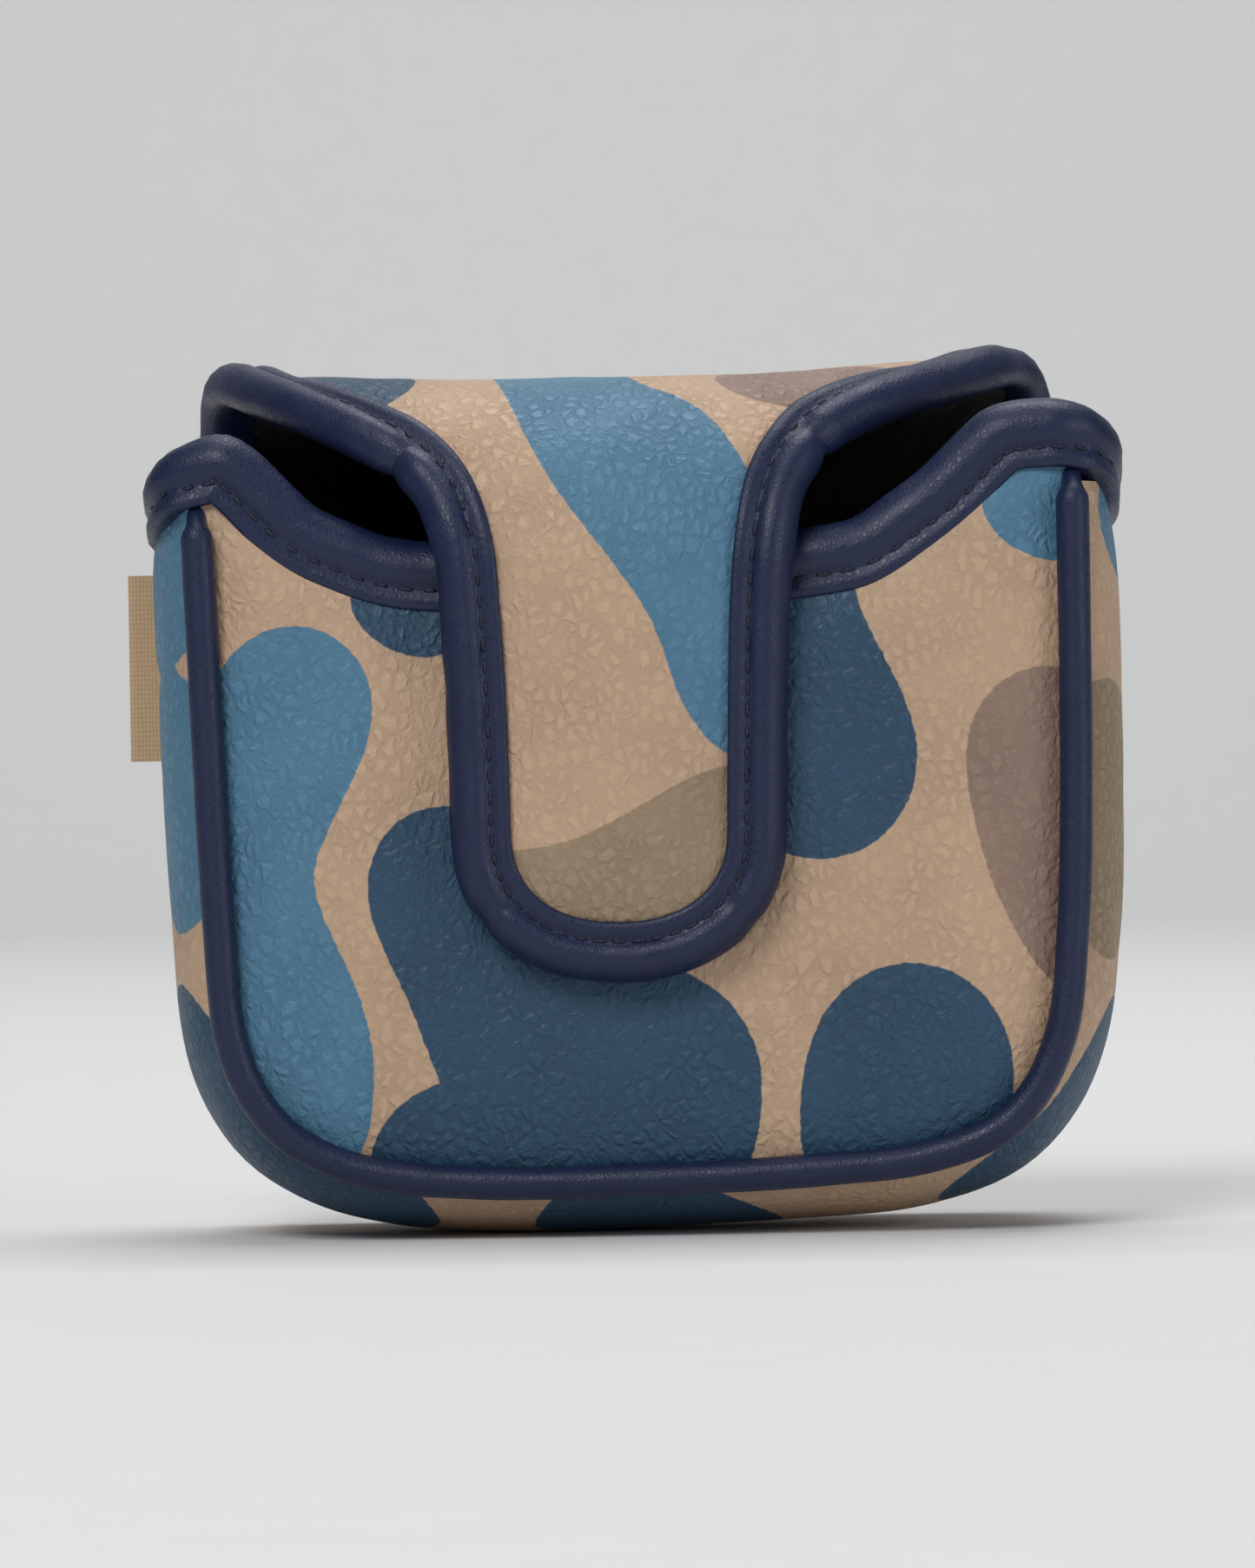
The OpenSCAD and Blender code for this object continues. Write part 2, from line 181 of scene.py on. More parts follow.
def print_blobs(piece, blobs, x, z):
    """Writes each colour's depth to the piece's points, for its material to read."""
    for colour in ("sky", "taupe", "olive", "deep"):
        depth = np.full(x.shape, -30.0)
        for chain in blobs.get(colour, ()):
            depth = np.maximum(depth, blob_depth(chain, x, z))
        values = piece.data.attributes.new("print_" + colour, "FLOAT", "POINT")
        values.data.foreach_set("value", np.tile(depth.ravel(), 2).astype(np.float32))


TAN = (0.53, 0.36, 0.236, 1)
PRINT_COLOURS = {"sky": (0.075, 0.20, 0.31, 1), "taupe": (0.285, 0.19, 0.145, 1),
                 "olive": (0.31, 0.225, 0.14, 1), "deep": (0.022, 0.068, 0.125, 1)}


def new_material(name):
    """A node material, its shader, and a function that adds a node with set inputs."""
    material = bpy.data.materials.new(name)
    material.use_nodes = True
    tree = material.node_tree
    shader = tree.nodes["Principled BSDF"]

    def add(kind, inputs=(), **settings):
        node = tree.nodes.new(kind)
        for key, value in settings.items():
            setattr(node, key, value)
        for key, value in dict(inputs).items():
            if isinstance(value, bpy.types.NodeSocket):
                tree.links.new(value, node.inputs[key])
            else:
                node.inputs[key].default_value = value
        return node

    return material, shader, add


def pebbles(add, coords, size, relief):
    """Pebbled grain: how deep in a crease each point is (1 at the bottom), and the normal."""
    wobble = add("ShaderNodeTexNoise", {"Vector": coords, "Scale": 0.45 / (size * MM),
                                        "Detail": 3.0})
    shifted = add("ShaderNodeVectorMath", {0: wobble.outputs["Color"], 1: (0.5, 0.5, 0.5)},
                  operation="SUBTRACT")
    bent = add("ShaderNodeVectorMath", {0: shifted.outputs[0], 1: (1.6 * size * MM,) * 3},
               operation="MULTIPLY")
    moved = add("ShaderNodeVectorMath", {0: coords, 1: bent.outputs[0]}, operation="ADD")
    tall = add("ShaderNodeVectorMath", {0: moved.outputs[0], 1: (1.0, 1.0, 0.72)},
               operation="MULTIPLY")
    creases = []
    for scale, reach in ((1.0, 0.34), (2.3, 0.4)):
        cells = add("ShaderNodeTexVoronoi", {"Vector": tall.outputs[0], "Randomness": 1.0,
                                             "Scale": scale / (size * MM)},
                    feature="DISTANCE_TO_EDGE")
        creases.append(add("ShaderNodeMapRange", {
            "Value": cells.outputs["Distance"], "From Min": 0.0, "From Max": reach,
            "To Min": 1.0, "To Max": 0.0}, interpolation_type="SMOOTHERSTEP").outputs[0])
    patches = add("ShaderNodeTexNoise", {"Vector": coords, "Scale": 0.16 / (size * MM),
                                         "Detail": 2.0})
    amount = add("ShaderNodeMapRange", {"Value": patches.outputs["Fac"], "From Min": 0.36,
                                        "From Max": 0.62, "To Min": 0.5, "To Max": 1.0})
    deep = add("ShaderNodeMath", {0: creases[0], 1: amount.outputs[0]}, operation="MULTIPLY")
    both = add("ShaderNodeMath", {0: creases[1], 1: 0.3, 2: deep.outputs[0]},
               operation="MULTIPLY_ADD")
    fine = add("ShaderNodeTexNoise", {"Vector": coords, "Scale": 5.0 / (size * MM),
                                      "Detail": 3.0})
    level = add("ShaderNodeMath", {0: fine.outputs["Fac"], 1: -0.25, 2: both.outputs[0]},
                operation="MULTIPLY_ADD")
    bump = add("ShaderNodeBump", {"Height": level.outputs[0], "Strength": 1.0,
                                  "Distance": relief * MM}, invert=True)
    return deep.outputs[0], bump.outputs["Normal"]


def printed_leather():
    material, shader, add = new_material("printed_leather")
    links = material.node_tree.links
    coords = add("ShaderNodeTexCoord").outputs["Object"]
    crease, normal = pebbles(add, coords, 1.75, 0.16)
    wander = add("ShaderNodeTexNoise", {"Vector": coords, "Scale": 900.0})
    colour = None
    for name, paint in PRINT_COLOURS.items():
        depth = add("ShaderNodeAttribute", attribute_name="print_" + name)
        ragged = add("ShaderNodeMath", {0: wander.outputs["Fac"], 1: 0.5,
                                        2: depth.outputs["Fac"]}, operation="MULTIPLY_ADD")
        mask = add("ShaderNodeMapRange", {"Value": ragged.outputs[0], "From Min": 0.14,
                                          "From Max": 0.36}, interpolation_type="SMOOTHSTEP")
        mix = add("ShaderNodeMix", data_type="RGBA")
        links.new(mask.outputs[0], mix.inputs["Factor"])
        if colour:
            links.new(colour, mix.inputs[6])
        else:
            mix.inputs[6].default_value = TAN
        mix.inputs[7].default_value = paint
        colour = mix.outputs[2]
    # Painted shade darkens the bottom of each crease, and the print's tone drifts.
    drift = add("ShaderNodeTexNoise", {"Vector": coords, "Scale": 40.0, "Detail": 4.0})
    tone = add("ShaderNodeMapRange", {"Value": drift.outputs["Fac"], "From Min": 0.3,
                                      "From Max": 0.7, "To Min": 0.93, "To Max": 1.06})
    toned = add("ShaderNodeHueSaturation", {"Color": colour, "Value": tone.outputs[0]})
    # painted shade: colour value falls to 0.84 at the bottom of each crease
    shade = add("ShaderNodeMapRange", {"Value": crease, "To Min": 1.0, "To Max": 0.84})
    shaded = add("ShaderNodeHueSaturation", {"Color": toned.outputs[0],
                                             "Value": shade.outputs[0]})
    links.new(shaded.outputs[0], shader.inputs["Base Color"])
    rough = add("ShaderNodeMapRange", {"Value": crease, "To Min": 0.44, "To Max": 0.6})
    links.new(rough.outputs[0], shader.inputs["Roughness"])
    links.new(normal, shader.inputs["Normal"])
    shader.inputs["Specular IOR Level"].default_value = 0.42
    return material


LEATHER = printed_leather()
front_crown = 2.0


def front_grid(depth_of):
    """Points over the front panel; depth_of gives each point's y from x and z."""
    across = (1 - np.cos(np.linspace(0, math.pi, 116))) / 2
    across = 0.5 * across + 0.5 * np.linspace(0, 1, 116)
    x = seam[0, 0] + (seam[-1, 0] - seam[0, 0]) * across
    low = np.interp(x, seam[:, 0], seam[:, 1])
    top = np.interp(x, mouth[:, 0], mouth[:, 1])
    up = np.linspace(0, 1, 96)[:, None]
    z = low + (top - low) * up
    x = np.broadcast_to(x, z.shape)
    return x, z, np.stack([x, depth_of(x, z), z], axis=2)


def front_face(x, z):
    """The padded outer face: pulled in at the seam, full in the middle."""
    from_seam = distance_to(seam, x, z)
    from_mouth = np.interp(x, mouth[:, 0], mouth[:, 1]) - z
    full = 1 - np.exp(-from_seam / 4.5)
    full *= 1 - 0.75 * np.exp(-np.maximum(0, from_mouth - 5) / 5)
    soft = 0.35 * grain(x, 0 * x, z, 22, 3.1) + 0.12 * grain(x, 0 * x, z, 8, 9.4)
    return front_y + 0.7 - (front_crown + 0.7 + soft) * full


FRONT_PRINT = {
    "sky": [[(-45.6, 72.5, 11.3), (-50.5, 61, 10.2), (-55.4, 49.5, 10.4), (-54, 38, 12),
             (-48.4, 26, 11.8), (-47, 14, 10)], [(53.8, 98.2, 8.2), (62, 98, 9)]],
    "taupe": [[(55, 65.5, 11.2), (57.5, 51, 10.6), (62, 38, 9)]],
    "deep": [[(-26.3, 48.3, 11), (-20.5, 35, 10.4), (-12, 23, 14), (-3, 21, 15),
              (2.4, 21.5, 13.6), (1, 10, 13)], [(-26, 8.5, 12.5), (-10, 10, 12)],
             [(19, 92, 10), (19.7, 81.3, 9.8), (24.7, 62, 14)],
             [(-33, 86.5, 6), (-27, 83.8, 6.8)], [(36.2, 23.3, 14.1), (34.5, 10, 13.5)]]}

x, z, outer = front_grid(front_face)
inner = front_grid(lambda x, z: np.full(x.shape, front_y + pad_t))[2]
front_pad = pad_piece("front_panel_pad", outer, inner)
print_blobs(front_pad, FRONT_PRINT, x, z)
front_pad.data.materials.append(LEATHER)
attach(front_pad, "pouch")
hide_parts("front_leather", "front_foam")

# ---- Back panel, flap and strap ----
# One printed pad: the back panel runs up, folds tightly forward at the top, narrows in a
# curve over the front and hangs down as the strap. It is cut at the front bend into two
# pieces. Its foam and leather are one piece here.
back_low, back_high = box_mm("back_leather")
flap_low = box_mm("flap_leather")[0]
strap_low = box_mm("strap_leather")[0]
back_y, top_z, crease_y = back_high[1], back_high[2], back_low[1]
rear_r = back_y - crease_y
front_r = top_z - flap_low[2]
arc_y = flap_low[1] + front_r
rear_arc = rear_r * math.pi / 2
flat_len = crease_y - arc_y
front_arc = front_r * math.pi / 2
strap_top_s = flat_len + front_arc
strap_end_s = strap_top_s + flap_low[2] - strap_low[2] - 1.2
split_s = flat_len + 0.55 * front_arc
end_round = 18
strap_left, strap_right = 22.7, 17.6
back_foot_s = -rear_arc - (top_z - rear_r - seam_low_z)


def fold_profile(s):
    """Outer face of the fold at s, measured forward from the crease: y, z and its normal."""
    rear = np.clip(-s / rear_r, 0, math.pi / 2)
    bend = np.clip((s - flat_len) / front_r, 0, math.pi / 2)
    y = crease_y - np.clip(s, 0, flat_len) + rear_r * np.sin(rear) - front_r * np.sin(bend)
    z = (top_z - rear_r * (1 - np.cos(rear)) - front_r * (1 - np.cos(bend))
         - np.maximum(0, -s - rear_arc) - np.maximum(0, s - strap_top_s))
    return y, z, np.sin(rear) - np.sin(bend), np.cos(rear) * np.cos(bend)


# Where the raw edges run: distance along the fold, and how far out to the left and right.
edge_plan = smooth_line([
    (-40, 58.4, 58.5), (-20, 58.2, 58.2), (-10, 57.6, 56.8), (0, 56.6, 53.8), (8, 54.2, 49),
    (16, 50.6, 42.6), (25, 45.2, 35), (33, 37.6, 27.4), (38.5, 31.6, 23.8),
    (45, 27.0, 20.8), (53, 24.4, 19.2), (62, 23.6, 18.4), (74, 23.0, 18.0),
    (strap_end_s - end_round, strap_left, strap_right),
    (strap_end_s + 4, strap_left, strap_right)], 0.5)


def edge_x(s, side):
    """x of the raw edge: the left one for side -1, the right one for side 1."""
    reach = np.interp(s, edge_plan[:, 0], edge_plan[:, 2 if side > 0 else 1])
    half = seam[seam[:, 0] * side > 0]
    half = half[np.argsort(half[:, 1])]
    on_seam = np.abs(np.interp(fold_profile(s)[1], half[:, 1], half[:, 0]))
    reach = np.where(s < -rear_arc - 2, on_seam, reach)
    foot = np.clip((s - strap_end_s + end_round) / end_round, 0, 1)
    middle = 0.5 * (strap_right - strap_left)
    curve = (1 - foot**2.2) ** (1 / 2.2)
    return middle + (side * reach - middle) * curve


def corner_lift(x, s):
    """The corners beside the fold curl up a little, the right one more."""
    out = np.abs(x) / 57
    window = np.exp(-((s - 5) / 13) ** 2)
    return window * np.where(x > 0, 5.0 * out**2, 3.6 * out**3)


def fold_point(x, s, lift_off=0.0):
    """Point and normal on the outer face of the fold, moved out by lift_off."""
    y, z, ny, nz = fold_profile(s)
    point = np.stack([x, y + ny * lift_off, z + nz * lift_off + corner_lift(x, s)], axis=-1)
    return point, np.stack([0 * x, ny + 0 * x, nz + 0 * x], axis=-1)


def fold_grid(s_rows, columns):
    """x, s and distance from the nearest raw edge over the fold."""
    t = 0.6 * (1 - np.cos(np.linspace(0, math.pi, columns))) / 2 + 0.4 * np.linspace(0, 1, columns)
    left, right = edge_x(s_rows, -1)[:, None], edge_x(s_rows, 1)[:, None]
    x = left + (right - left) * t
    s = np.broadcast_to(s_rows[:, None], x.shape)
    edge = np.minimum(x - left, right - x)
    edge = np.minimum(edge, np.maximum(0, strap_end_s - s) + 0.3)
    sewn = distance_to(seam, x, fold_profile(s)[1])
    edge = np.where(s < -rear_arc, np.minimum(edge, sewn), edge)
    return x, s, np.maximum(edge, 0)


def pad_rise(x, s, edge):
    """How far the padded face stands above its edges."""
    on_back = np.clip((-s - rear_arc) / 20, 0, 1)
    crown = 1.9 + 0.7 * on_back
    full = 1 - np.exp(-np.maximum(0, edge - 4.2) / 4.5)
    soft = 0.3 * grain(x, s, 0 * x, 19, 5.7) + 0.1 * grain(x, s, 0 * x, 7, 1.3)
    return (crown + soft) * full - 0.5


FOLD_PRINT = {
    "sky": [[(-10.5, 132, 8.6), (-8.5, 121, 8.4), (-6, 113.5, 8.8), (-0.5, 106.5, 11.4),
             (4.5, 99, 10.8), (9.5, 91.5, 10.2), (13.2, 83, 9.6), (14.5, 75, 9),
             (17, 69, 7)], [(-40, 175, 12), (-30, 160, 10), (-34, 148, 7)],
            [(6, 244, 13), (22, 236, 11), (30, 218, 10)]],
    "taupe": [[(18.8, 122.5, 8.6), (31, 125, 9)], [(-52, 222, 13), (-46, 240, 9)]],
    "olive": [[(-22, 41, 10), (-9, 42, 9.7), (2, 45, 11), (16, 51, 13)],
              [(44, 168, 11), (56, 176, 14)]],
    "deep": [[(-48, 128, 11), (-38, 124, 10.2)],
             [(-8, 196, 13), (6, 184, 13), (14, 164, 11), (10, 150, 9)],
             [(-30, 256, 13), (-24, 238, 11)]]}


def fold_pad(name, s_rows, columns):
    x, s, edge = fold_grid(s_rows, columns)
    outer = fold_point(x, s, pad_rise(x, s, edge))[0]
    inner = fold_point(x, s, -pad_t)[0]
    pad = pad_piece(name, outer[:, ::-1], inner[:, ::-1])
    print_blobs(pad, FOLD_PRINT, x[:, ::-1], (flap_low[2] + strap_top_s - s)[:, ::-1])
    pad.data.materials.append(LEATHER)
    return pad


back_rows = np.concatenate([back_foot_s + np.array([0.35, 0.6, 1, 1.5, 2.2, 3, 4, 5.2, 6.5]),
                            np.arange(back_foot_s + 8, -rear_arc, 1.5),
                            np.arange(-rear_arc, split_s, 0.8), [split_s]])
back_pad = fold_pad("back_and_flap_pad", back_rows, 100)
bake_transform(back_pad)
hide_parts("back_leather", "back_foam")

round_s = strap_end_s - end_round
end_rows = round_s + end_round * np.sin(np.linspace(0, math.pi / 2, 26)[:-1])
strap_rows = np.concatenate([np.arange(split_s, round_s, 1.0), end_rows,
                             [strap_end_s - 0.02]])
strap_pad = fold_pad("strap_pad", strap_rows, 64)
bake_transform(strap_pad)
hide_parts("flap_leather", "flap_foam", "strap_leather", "strap_foam")

# ---- Gusset ----
# A long strip of the same padded leather, sewn to the front and back panels round the
# sides and bottom. It bulges outward between its two seams, and its ends are bound.
gusset_high = box_mm("gusset_leather")[1]
bulge = gusset_high[0] - panel_half + 0.5
run_step, gusset_top_z = 1.6, 101
run = resample(seam[seam[:, 1] < gusset_top_z], run_step)
turn = np.gradient(run, axis=0)
turn /= np.linalg.norm(turn, axis=1)[:, None]
outward = np.stack([turn[:, 1], -turn[:, 0]], axis=1)
from_middle = np.arange(len(run)) * run_step
from_middle = from_middle - np.interp(0, run[:, 0], from_middle)


def gusset_out(v, along):
    """How far the gusset stands out from the seam, v from -1 at the front to 1 at the back."""
    soft = 0.35 * grain(along, 9 * v, 0 * along, 24, 2.2) + 0.12 * grain(along, 20 * v, 0, 9, 7)
    under_binding = 1.5 * np.exp(-((from_middle[-1] - np.abs(along)) / 8) ** 2)
    return (bulge + soft - under_binding) * (1 - np.abs(v) ** 2.6) ** 0.55


v, along = np.meshgrid(np.sin(np.linspace(-1, 1, 33) * math.pi / 2), from_middle)
out = gusset_out(v, along)


def gusset_grid(drop, squeeze):
    """Points of the gusset's face, moved in by drop and narrowed by squeeze."""
    half = back_y - squeeze
    return np.stack([run[:, None, 0] + outward[:, None, 0] * (out - drop), half * v,
                     run[:, None, 1] + outward[:, None, 1] * (out - drop)], axis=2)


GUSSET_PRINT = {
    "sky": [[(134, -12, 8), (131, 4, 9)], [(-134, -14, 10), (-122, -15, 10)],
            [(-106, -17, 9), (-95, -14, 12), (-86, -17, 8)], [(100, 16, 9), (86, 20, 8)],
            [(-10, 18, 9), (-30, 22, 8)]],
    "olive": [[(104, -20, 8), (92, -12, 14), (82, -17, 8)], [(-120, 18, 10), (-104, 20, 8)]],
    "taupe": [[(60, 18, 9), (44, 22, 8)], [(-76, 18, 8), (-88, 22, 7)]],
    "deep": [[(61, -10, 10), (46, -13, 9)], [(-6, -16, 10), (8, -10, 12)],
             [(-36, -16, 10), (-50, -8, 13), (-63, -14, 10)], [(126, 22, 8), (116, 24, 6)]]}
gusset_pad = pad_piece("gusset_pad", gusset_grid(0, 0.3), gusset_grid(pad_t, pad_t))
print_blobs(gusset_pad, GUSSET_PRINT, along, back_y * v)
gusset_pad.data.materials.append(LEATHER)
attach(gusset_pad, "pouch")
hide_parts("gusset_leather", "gusset_foam")

# ---- Welts ----
# Piping in both seams: a strip of navy leather wrapped round a thin cord, its edges caught
# between panel and gusset.
welt_low, welt_high = box_mm("front_welt")
welt_r = (welt_high[1] - welt_low[1]) / 2 + 0.35
welt_y = (welt_high[1] + welt_low[1]) / 2


def navy_leather():
    material, shader, add = new_material("binding_leather")
    links = material.node_tree.links
    coords = add("ShaderNodeTexCoord").outputs["Object"]
    crease, normal = pebbles(add, coords, 0.7, 0.025)
    drift = add("ShaderNodeTexNoise", {"Vector": coords, "Scale": 120.0, "Detail": 3.0})
    colour = add("ShaderNodeMix", data_type="RGBA")
    links.new(drift.outputs["Fac"], colour.inputs["Factor"])
    colour.inputs[6].default_value = (0.005, 0.011, 0.042, 1)
    colour.inputs[7].default_value = (0.009, 0.017, 0.060, 1)
    links.new(colour.outputs[2], shader.inputs["Base Color"])
    rough = add("ShaderNodeMapRange", {"Value": crease, "To Min": 0.36, "To Max": 0.55})
    links.new(rough.outputs[0], shader.inputs["Roughness"])
    wrinkle = add("ShaderNodeTexNoise", {"Vector": coords, "Scale": 330.0, "Detail": 2.0})
    bump = add("ShaderNodeBump", {"Height": wrinkle.outputs["Fac"], "Normal": normal,
                                  "Strength": 0.25, "Distance": 0.5 * MM})
    links.new(bump.outputs["Normal"], shader.inputs["Normal"])
    shader.inputs["Specular IOR Level"].default_value = 0.42
    return material


NAVY = navy_leather()


def swept(name, centres, normals, outs, profiles, paint=NAVY):
    """A closed body with one ring of points per centre; each profile point is (out, up)."""
    rings = [c + p[:, :1] * o + p[:, 1:] * n
             for c, n, o, p in zip(centres, normals, outs, profiles)]
    count, k = len(rings), len(profiles[0])
    faces = [(i * k + j, i * k + (j + 1) % k, (i + 1) * k + (j + 1) % k, (i + 1) * k + j)
             for i in range(count - 1) for j in range(k)]
    faces += [tuple(range(k - 1, -1, -1)), tuple((count - 1) * k + j for j in range(k))]
    piece = mesh_piece(name, np.vstack(rings), faces)
    piece.data.materials.append(paint)
    return piece


def cotton_cord():
    material, shader, add = new_material("piping_cord")
    twist = add("ShaderNodeTexWave", {"Vector": add("ShaderNodeTexCoord").outputs["Object"],
                                      "Scale": 500.0}, bands_direction="DIAGONAL")
    bump = add("ShaderNodeBump", {"Height": twist.outputs["Fac"], "Strength": 0.6,
                                  "Distance": 0.3 * MM})
    material.node_tree.links.new(bump.outputs["Normal"], shader.inputs["Normal"])
    shader.inputs["Base Color"].default_value = (0.62, 0.60, 0.55, 1)
    shader.inputs["Roughness"].default_value = 0.85
    return material


CORD = cotton_cord()
cord_r, tuck_length = 1.1, 4.5
for side, node, left_top, right_top in ((-1, "front_welt", 99.6, 103), (1, "back_welt", 99, 99)):
    line = seam[seam[:, 1] < np.where(seam[:, 0] < 0, left_top, right_top)]
    line = resample(line, 1.0)
    top = np.where(line[:, 0] < 0, left_top, right_top)
    tuck = np.clip((line[:, 1] - top + tuck_length) / tuck_length, 0, 1)
    centres = np.stack([line[:, 0], side * (abs(welt_y) - 5.5 * tuck), line[:, 1]], axis=1)
    turn = np.gradient(centres, axis=0)
    turn /= np.linalg.norm(turn, axis=1)[:, None]
    face = np.tile([0.0, side, 0.0], (len(line), 1))
    around = np.linspace(0, 2 * math.pi, 19)[:-1] * -side
    ring = np.stack([np.cos(around), np.sin(around)], axis=1)
    puff = 1 + 0.035 * grain(centres[:, 0], centres[:, 1], centres[:, 2], 7, side)
    outs = np.cross(turn, face)
    welt = swept(node + "_piping", centres, face, outs,
                 [ring * welt_r * p * (1 - 0.15 * k) for p, k in zip(puff, tuck)])
    inner_cord = swept(node + "_cotton", centres[2:-2], face[2:-2], outs[2:-2],
                       [ring * cord_r] * (len(line) - 4), CORD)
    for piece, stands_for in ((welt, node), (inner_cord, node + "_cord")):
        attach(piece, "pouch")
        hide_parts(stands_for)

# ---- Bindings ----
# Strips of navy leather folded over every raw edge. Each makes a fat roll round the edge
# and a flat flange on the face, with a stitched groove between them.
binding_profile = np.array([
    (-5.3, 1.5), (-5.3, 2.85), (-5.0, 3.15), (-4.3, 3.2), (-3.5, 3.0), (-3.0, 2.6),
    (-2.6, 2.6), (-2.25, 3.0), (-1.5, 3.5), (-0.5, 3.6), (0.6, 3.2), (1.6, 2.3), (2.25, 1.1),
    (2.45, 0), (2.2, -1.1), (1.5, -2.0), (0.5, -2.5), (-0.7, -2.7), (-2.0, -2.65),
    (-3.0, -2.5), (-4.2, -2.45), (-5.0, -2.4), (-5.3, -2.1), (-5.3, -1.5)])
mouth_groove, flap_groove = 4.1, 3.0
mouth_flange, flap_flange = 2.8, 2.7


def edge_frame(points, normals):
    """Unit normals square to the path, and the direction out past the raw edge."""
    turn = np.gradient(points, axis=0)
    turn /= np.linalg.norm(turn, axis=1)[:, None]
    out = np.cross(turn, normals)
    out /= np.linalg.norm(out, axis=1)[:, None]
    return np.cross(out, turn), out, turn


def binding_rings(points, groove, flange, pinches=()):
    """Profiles along an edge, with the stitched groove that far inside the raw edge and a
    flange that wide beyond it; the roll is uneven, and pinched in places."""
    along = np.concatenate([[0], np.cumsum(np.linalg.norm(np.diff(points, axis=0), axis=1))])
    uneven = 1 + 0.05 * grain(points[:, 0], points[:, 1], points[:, 2], 6, 4.4)
    for at, width, depth in pinches:
        nearest = along[np.argmin(np.linalg.norm(points - at, axis=1))]
        uneven -= depth * np.exp(-((along - nearest) / width) ** 2)
    rings = []
    for k in uneven:
        p = binding_profile.copy()
        p[:, 0] = np.where(p[:, 0] < -2.7, -groove + (p[:, 0] + 2.7) * flange / 2.6,
                           np.interp(p[:, 0], (-2.7, 2.45), (-groove, 2.45)))
        roll = p[:, 0] > -groove + 0.2
        p[roll] = (p[roll] - (-1, 0)) * k + (-1, 0)
        rings.append(p)
    return rings


# Round the mouth: from the rear of the right side, along the front, to the rear on the left.
mid_y = front_y + stack_t / 2
front_run = [(px, mid_y, pz) for px, pz in mouth[::-1] if abs(px) < 57.5][::3]
mouth_path = smooth_line(
    [(57.6, 21.3, 101.6), (60.6, 18, 101.2), (62.7, 10, 101.2), (63.2, 0, 102),
     (63.1, -9, 103.6), (62.5, -16, 106.3), (60.6, -19.9, 108.2)] + front_run
    + [(-60.6, -19.9, 104.7), (-62.4, -16, 102.6), (-62.8, -8, 101), (-62.8, 0, 100.4),
       (-62.4, 10, 100.2), (-60.4, 18, 100.4), (-57.6, 21.3, 101.2)], 1.0)
flat_turn = np.gradient(mouth_path, axis=0) * (1, 1, 0)
mouth_face = np.cross([0, 0, 1], flat_turn)
mouth_face /= np.linalg.norm(mouth_face, axis=1)[:, None]
mouth_normal, mouth_out, mouth_turn = edge_frame(mouth_path, mouth_face)
mouth_edge = swept("mouth_edge_binding", mouth_path, mouth_normal, mouth_out,
                   binding_rings(mouth_path, mouth_groove, mouth_flange,
                                 [((-61, -20, 105), 3, 0.12), ((61, -20, 108), 3, 0.12)]))
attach(mouth_edge, "pouch")
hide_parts("mouth_binding", "side_binding_left", "side_binding_right")

# Round the flap: up the rear left corner, along the left edge, round the strap's end and
# back. The left edge, the strap's edge and the right edge are three pieces, cut where the
# pad is. At its two rear ends the binding thins and dives into the back seam.
foot_s = -32
edge_s = np.concatenate([np.arange(foot_s, round_s, 0.7),
                         round_s + end_round * np.sin(np.linspace(0, math.pi / 2, 40))])
plan = np.vstack([np.stack([edge_x(edge_s, -1), edge_s], axis=1),
                  np.stack([edge_x(edge_s, 1), edge_s], axis=1)[-2::-1]])
plan = resample(plan, 1.0)
flap_path, flap_face = fold_point(plan[:, 0], plan[:, 1], -stack_t / 2)
flap_normal, flap_out, flap_turn = edge_frame(flap_path, flap_face)
flap_rings = binding_rings(flap_path, flap_groove, flap_flange, [
    ((-32, -24, 103), 1.6, 0.22), ((25, -24, 107), 1.6, 0.22), ((-20, -30, 43), 1.5, 0.15),
    ((15, -30, 42), 1.5, 0.12), ((57, 8, 118), 3, 0.1)])
dive = np.exp(-np.minimum(plan[:, 1] - foot_s, 60) / 4.5)
flap_path = flap_path - 2.6 * dive[:, None] * flap_normal
flap_rings = [ring * (1 - 0.7 * k) for ring, k in zip(flap_rings, dive)]
past_split = np.flatnonzero(plan[:, 1] >= split_s)
first, last = past_split[0], past_split[-1]
PARTS = {"left": slice(0, first + 1), "strap": slice(first, last + 1),
         "right": slice(last, len(plan))}


def bend_with(piece, part):
    if part == "strap":
        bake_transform(piece)
    else:
        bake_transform(piece)


for part, cut in PARTS.items():
    edge = swept(part + "_edge_binding", flap_path[cut], flap_normal[cut], flap_out[cut],
                 flap_rings[cut])
    bend_with(edge, part)
    if part == "strap":
        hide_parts("strap_binding")
    else:
        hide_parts("crease_binding_" + part, "flap_binding_" + part)

# ---- Stitching ----
# One row of navy thread down the groove of every binding. Each stitch is a short thick
# loop that dips into the leather at both ends.
stitch_pitch, stitch_length, thread_r = 2.9, 2.2, 0.34
STITCH_SKIPS = {"left": (13, 1), "strap": (1.5, 1), "right": (1.5, 13)}


def stitched_thread():
    material, shader, add = new_material("thread")
    coords = add("ShaderNodeTexCoord").outputs["Object"]
    twist = add("ShaderNodeTexWave", {"Vector": coords, "Scale": 900.0, "Distortion": 3.0},
                bands_direction="DIAGONAL")
    bump = add("ShaderNodeBump", {"Height": twist.outputs["Fac"], "Strength": 0.5,
                                  "Distance": 0.1 * MM})
    material.node_tree.links.new(bump.outputs["Normal"], shader.inputs["Normal"])
    shader.inputs["Base Color"].default_value = (0.006, 0.010, 0.028, 1)
    shader.inputs["Roughness"].default_value = 0.6
    return material


THREAD = stitched_thread()


